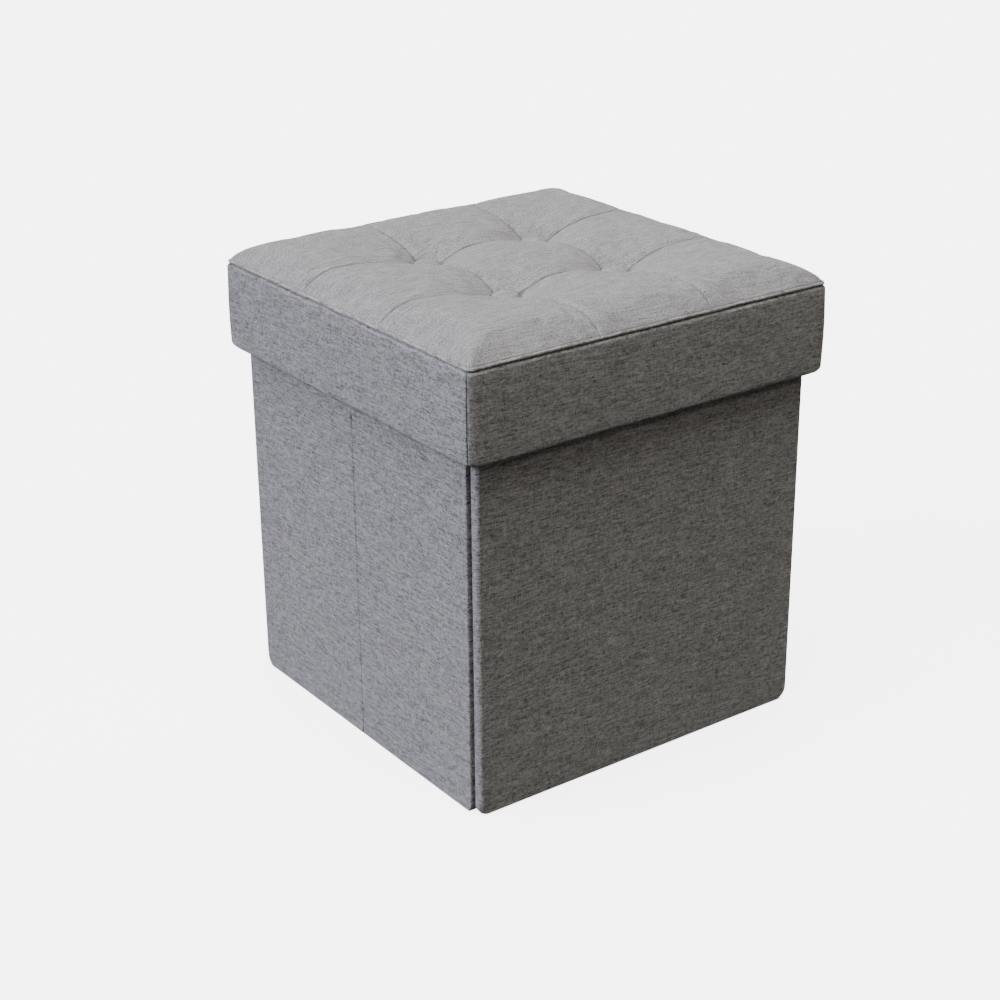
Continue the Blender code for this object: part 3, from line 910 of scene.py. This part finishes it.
def panel_plan(half, level, ends, seed):
    """A wall panel's outline seen from above, outer face towards -Y, as a ring of (x, y) points.

    ends describe its two ends, left first; a level's pocket is how deep its back is hollowed.
    """
    height, inset, pocket = level
    near, far = inset, WALL - inset
    first, last = (half + extra - inset - foot_trim(height, foot) for _, extra, foot in ends)
    left, right = (max(0.0004, radius - inset) for radius, _, _ in ends)
    inner = max(0.0003, 0.0012 - inset)
    points = [(x, near + 0.00025 * (1.0 + ripple((x, height, 0.0), 0.07, seed)))
              for x in spread(-first + left, last - right, 44)]
    points += arc((last - right, near + right), right, -90, 0, 6)[1:]
    points += arc((last - inner, far - inner), inner, 0, 90, 3)
    hollow = far - max(0.00002, pocket)
    points += [(last - RIM, far), (last - RIM, hollow)]
    points += [(-first + RIM, hollow), (-first + RIM, far)]
    points += arc((-first + inner, far - inner), inner, 90, 180, 3)
    points += arc((-first + left, near + left), left, 180, 270, 6)[:-1]
    return points


def panel_loft(name, half, levels, ends):
    """Skins a panel's outlines at (height, inset, pocket depth) levels; the name seeds ripples."""
    rings = []
    for level in levels:
        rings.append([(x, y, level[0]) for x, y in panel_plan(half, level, ends, len(name))])
    return loft(name, rings)


def wall_levels():
    """Levels of a wall panel's fabric: a rim, a deep pocket for the board, and a rounded top edge."""
    deep = WALL - RIM
    round_top = 0.0028
    levels = [(WALL_LOW, 0.0, 0.0), (WALL_LOW + RIM, 0.0, 0.0)]
    levels += [(z, 0.0, deep) for z in spread(WALL_LOW + RIM, FOOT_TOP, 6)]
    levels += [(z, 0.0, deep) for z in spread(FOOT_TOP, WALL_TOP - round_top, 44)[1:]]
    levels += [(WALL_TOP - RIM - 0.0001, 0.0002, deep), (WALL_TOP - RIM, 0.0003, 0.0)]
    top_edge = rounding(round_top, 38, 90, 4)
    return levels + [(WALL_TOP - depth, inset, 0.0) for depth, inset in top_edge]


def hem_levels():
    """Levels of the soft hem below a panel, with a rounded lower edge."""
    levels = [(HEM_LOW + height, inset, 0.0) for height, inset in rounding(0.0010, 90, 0, 5)]
    return levels + [(WALL_LOW, 0.0, 0.0)]


def wall_board(name, half, ends):
    """The board inside a wall panel, its lower corners cut to follow the fabric's."""
    low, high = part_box(f"{name}_board")
    foot_top = 0.0130
    rings = []
    for z in [*spread(low.z, foot_top, 8), *spread(foot_top, high.z, 4)[1:]]:
        first, last = (half + min(0.0, extra) - foot_trim(z, foot, BOARD_EDGE)
                       for _, extra, foot in ends)
        rings.append([(-first, BOARD_NEAR, z), (last, BOARD_NEAR, z),
                      (last, BOARD_FAR, z), (-first, BOARD_FAR, z)])
    return loft(f"{name}_board_core", rings)


def wall(name, turn, ends):
    """One wall panel, on the body of its own name: fabric, hem, board, lining and stitches."""
    low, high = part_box(f"{name}_cover")
    centre = (low + high) / 2
    half = max(high.x - low.x, high.y - low.y) / 2
    outward = Matrix.Rotation(turn, 3, "Z") @ Vector((0, -1, 0))
    face = Vector((centre.x, centre.y, 0)) + outward * (WALL / 2)
    placed = Matrix.Translation(face) @ Matrix.Rotation(turn, 4, "Z")

    cover = panel_loft(f"{name}_fabric", half, wall_levels(), ends)
    hem = panel_loft(f"{name}_hem_fabric", half, hem_levels(), ends)
    box_low, box_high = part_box(f"{name}_lining")
    wide = max(box_high.x - box_low.x, box_high.y - box_low.y) / 2
    tall = (box_high.z - box_low.z) / 2
    middle = (box_low.z + box_high.z) / 2
    thick, gap = 0.0009, 0.0001
    lining = lining_sheet(f"{name}_lining_cloth", wide, tall, 0.00012, thick)
    upright = Matrix.Rotation(-math.pi / 2, 4, "X")
    lining.data.transform(Matrix.Translation((0, WALL - thick - gap, middle)) @ upright)
    board = wall_board(name, half, ends)
    for piece in (cover, hem, board, lining):
        piece.data.transform(placed)
        crisp(piece, 50.0)
    dress(cover, "linen", name, f"{name}_cover")
    dress(hem, "linen", name, f"{name}_hem")
    dress(board, "board", name, f"{name}_board")
    dress(lining, "lining", name, f"{name}_lining")
    if name != "front":
        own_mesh(hem)

    edge, rise = wide - WALL_SEAM_INSET, tall - WALL_SEAM_INSET
    corners = ((-edge, -rise), (edge, -rise), (edge, rise), (-edge, rise), (-edge, -rise))
    path = [placed @ Vector((x, WALL - gap, middle + z)) for x, z in corners]
    stitches(f"{name}_lining_stitches", path, -outward, name)


def walls():
    wall("front", 0.0, (NEAR_END, WIDE_END))
    wall("back", math.pi, (WIDE_END, WIDE_END))
    wall("left_front", -math.pi / 2, (CREASE_END, SIDE_FRONT_END))
    wall("left_rear", -math.pi / 2, (SIDE_REAR_END, CREASE_END))
    wall("right_front", math.pi / 2, (SIDE_FRONT_END, CREASE_END))
    wall("right_rear", math.pi / 2, (CREASE_END, SIDE_REAR_END))


def upright_strip(name, section):
    """A strip of cloth with a closed section of (x, y) points, from the hem to the top edge."""
    heights = spread(WALL_LOW + 0.0004, WALL_TOP - 0.0022, 60)
    return crisp(loft(name, [[(x, y, z) for x, y in section] for z in heights]), 60.0)


def crease_strip(side, sign):
    """The outer fabric where it runs on over a side's fold line, sunk in a little."""
    half, out = CREASE_GAP - 0.0001, sign * BODY_HALF
    ways = spread(-half, half, 8)
    outer = [(out - sign * (0.0001 + 0.0002 * math.cos(math.pi * y / half / 2)), y) for y in ways]
    inner = [(x - sign * 0.0011, y) for x, y in reversed(outer)]
    strip = upright_strip(f"{side}_crease_fabric", outer + inner)
    dress(strip, "linen", None, f"{side}_crease_strip")
    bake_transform(strip)


def corner_strip(end, side, sign, facing):
    """The cloth hinge deep in the groove at an upright corner."""
    first, last = sorted((BODY_HALF - WALL + 0.0001, SIDE_END + 0.0001))
    ways = spread(first + 0.0002, last - 0.0002, 4)
    outer = [(sign * (BODY_HALF - 0.0062), facing * y) for y in ways]
    inner = [(sign * (BODY_HALF - WALL + 0.0004), facing * y) for y in reversed(ways)]
    node = f"{end}_{side}_corner_strip"
    strip = upright_strip(f"{end}_{side}_corner_cloth", outer + inner)
    joined = (end, side) != ("back", "right")
    dress(strip, "lining", None if joined else "back", node)
    if joined:
        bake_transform(strip)


def hinges():
    for side, sign in SIDES:
        crease_strip(side, sign)
        for end, facing in ENDS:
            corner_strip(end, side, sign, facing)


# --- floor ---

def floor_tray():
    """The fabric wrapped round the floor board, open on top where the lining lies."""
    rim = 0.0008
    levels = rounding(0.0014, 90, 0, 4) + [(FLOOR_TOP - 0.0004, 0.0), (FLOOR_TOP, 0.0003)]
    levels += [(FLOOR_TOP, rim), (rim, rim)]
    rings = []
    for height, inset in levels:
        path = square_path(FLOOR_HALF - inset, 0.0030 - 0.5 * inset, 20, 4)
        rings.append([spot + Vector((0, 0, height)) for spot, _ in path])
    dress(crisp(loft("floor_wrap_cloth", rings), 50.0), "lining", "front", "floor_wrap")


def floor_sheet():
    """The floor's top lining, cut out round the pull tab, and stitched near its edge."""
    low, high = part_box("floor_lining")
    tab_low, tab_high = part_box("floor_pull_tab")
    gap = 0.0003
    left, right = tab_low.x - gap, tab_high.x + gap
    near, far = tab_low.y - gap, tab_high.y + gap
    xs = [*spread(low.x, left, 12)[:-1], *spread(left, right, 3)[:-1], *spread(right, high.x, 12)]
    ys = [*spread(low.y, near, 1)[:-1], *spread(near, far, 6)[:-1], *spread(far, high.y, 22)]
    bm = bmesh.new()
    rows = [[bm.verts.new((x, y, high.z + 0.00010 * ripple((x, y, 0), 0.04, 3.0))) for x in xs]
            for y in ys]
    for j in range(len(ys) - 1):
        for i in range(len(xs) - 1):
            x, y = (xs[i] + xs[i + 1]) / 2, (ys[j] + ys[j + 1]) / 2
            if not (left < x < right and near < y < far):
                bm.faces.new((rows[j][i], rows[j][i + 1], rows[j + 1][i + 1], rows[j + 1][i]))
    cloth = finish_mesh("floor_lining_cloth", bm)
    thicken_down(cloth, low.z)
    dress(crisp(cloth, 50.0), "lining", "front", "floor_lining")
    edge = high.x - SEAM_INSET
    beside = 0.006
    paths = {"right": [(-edge, edge), (edge, edge), (edge, -edge), (tab_high.x + beside, -edge)],
             "left": [(-edge, edge), (-edge, -edge), (tab_low.x - beside, -edge)]}
    for side, corners in paths.items():
        stitches(f"floor_stitches_{side}", [(x, y, high.z) for x, y in corners], (0, 0, 1), "front",
                 radius=FLOOR_STITCH)


def pull_tab():
    """A woven ribbon lying in the lining, doubled at its sewn end."""
    low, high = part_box("floor_pull_tab")
    half = (high.x - low.x) / 2
    rings = []
    for y in spread(low.y, high.y, 40):
        soft = 0.00012 * ripple((0.0, y, 0.0), 0.012, 6.0)
        narrow = 0.0022 * max(0.0, (y - high.y + 0.004) / 0.004) ** 2
        across = spread(-half + narrow, half - narrow, 12)
        rings.append([(x, y, high.z + soft - 0.00008 * abs(x) / half) for x in across]
                     + [(x, y, low.z) for x in reversed(across)])
    ribbon = crisp(loft("floor_tab_ribbon", rings), 50.0)
    flat_map(ribbon)
    dress(ribbon, "linen_mapped", "front", "floor_pull_tab")
    near, far, side = low.y + 0.004, low.y + 0.020, half - 0.004
    box_path = [(-side, near), (side, near), (side, far), (-side, far), (-side, near), (side, far)]
    stitches("floor_tab_stitches", [(x, y, high.z) for x, y in box_path], (0, 0, 1), "front",
             pitch=0.0028, radius=FLOOR_STITCH)


def carried_over():
    """Gives the CAD nodes that stay, the lid and floor boards and the washers, their looks."""
    for name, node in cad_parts.items():
        if node.hide_render:
            continue
        look = "steel" if "washer" in name else "board"
        node.data.materials.clear()
        node.data.materials.append(LOOKS[look])


# --- stage ---

def soft_sun(name, azimuth, elevation, strength, width, colour):
    """A wide distant light: azimuth from +X towards +Y and elevation in degrees, width in degrees."""
    data = bpy.data.lights.new(name, "SUN")
    data.energy = strength
    data.angle = math.radians(width)
    data.color = colour
    lamp = place(name, data)
    turn, rise = math.radians(azimuth), math.radians(elevation)
    reach = math.cos(rise)
    source = Vector((math.cos(turn) * reach, math.sin(turn) * reach, math.sin(rise)))
    lamp.rotation_euler = source.to_track_quat("Z", "Y").to_euler()


def circle(radius, height, count=36):
    """Points of a level circle round the Z axis."""
    angles = (math.tau * i / count for i in range(count))
    return [Vector((radius * math.cos(a), radius * math.sin(a), height)) for a in angles]


def stage():
    """Pale floor, a far wall of the same paper that hides the horizon, soft light and the camera."""
    bm = bmesh.new()
    bmesh.ops.create_grid(bm, x_segments=1, y_segments=1, size=30.0)
    ground = finish_mesh("ground", bm, smooth=False)
    ground.location.z = -0.0004
    paper = Shader("ground_paper", roughness=0.9)
    paper.colour((0.90, 0.90, 0.90))
    paper.bsdf.inputs["Emission Color"].default_value = (1.0, 1.0, 1.0, 1.0)
    paper.bsdf.inputs["Emission Strength"].default_value = 4.5
    backdrop = loft("backdrop", [circle(28.0, -1.0), circle(28.0, 24.0)], capped=False)
    backdrop.visible_shadow = False
    for paper_sheet in (ground, backdrop):
        paper_sheet.data.materials.append(paper.mat)
        paper_sheet.visible_diffuse = False
        paper_sheet.visible_glossy = False

    world = bpy.data.worlds.new("studio")
    bpy.context.scene.world = world
    world.use_nodes = True
    background = world.node_tree.nodes["Background"]
    background.inputs["Color"].default_value = (1.0, 0.97, 0.94, 1.0)
    background.inputs["Strength"].default_value = 0.09
    soft_sun("overhead", -150.0, 80.0, 2.95, 46.0, (1.0, 0.985, 0.955))
    soft_sun("left_softbox", 170.0, 30.0, 3.90, 36.0, (0.80, 0.825, 1.0))
    soft_sun("front_fill", -78.0, 46.0, 0.50, 14.0, (1.0, 0.92, 0.82))
    soft_sun("rear_fill", 45.0, 30.0, 1.4, 60.0, (1.0, 0.99, 0.97))

    add_camera()


def add_camera():
    """The camera looks at the ottoman from its left front, a little above it."""
    data = bpy.data.cameras.new("camera")
    data.sensor_width = 36.0
    data.lens = 72.2
    camera = place("camera", data)
    camera.location = (-1.0150, -1.3703, 0.9138)
    azimuth, elevation, roll = (math.radians(a) for a in (-35.88, 23.12, -0.50))
    reach = math.cos(elevation)
    back = Vector((math.sin(azimuth) * reach, -math.cos(azimuth) * reach, math.sin(elevation)))
    camera.rotation_euler = (back.to_track_quat("Z", "Y").to_matrix()
                             @ Matrix.Rotation(roll, 3, "Z")).to_euler()
    bpy.context.scene.camera = camera


lid()
walls()
hinges()
floor_tray()
floor_sheet()
pull_tab()
carried_over()
stage()
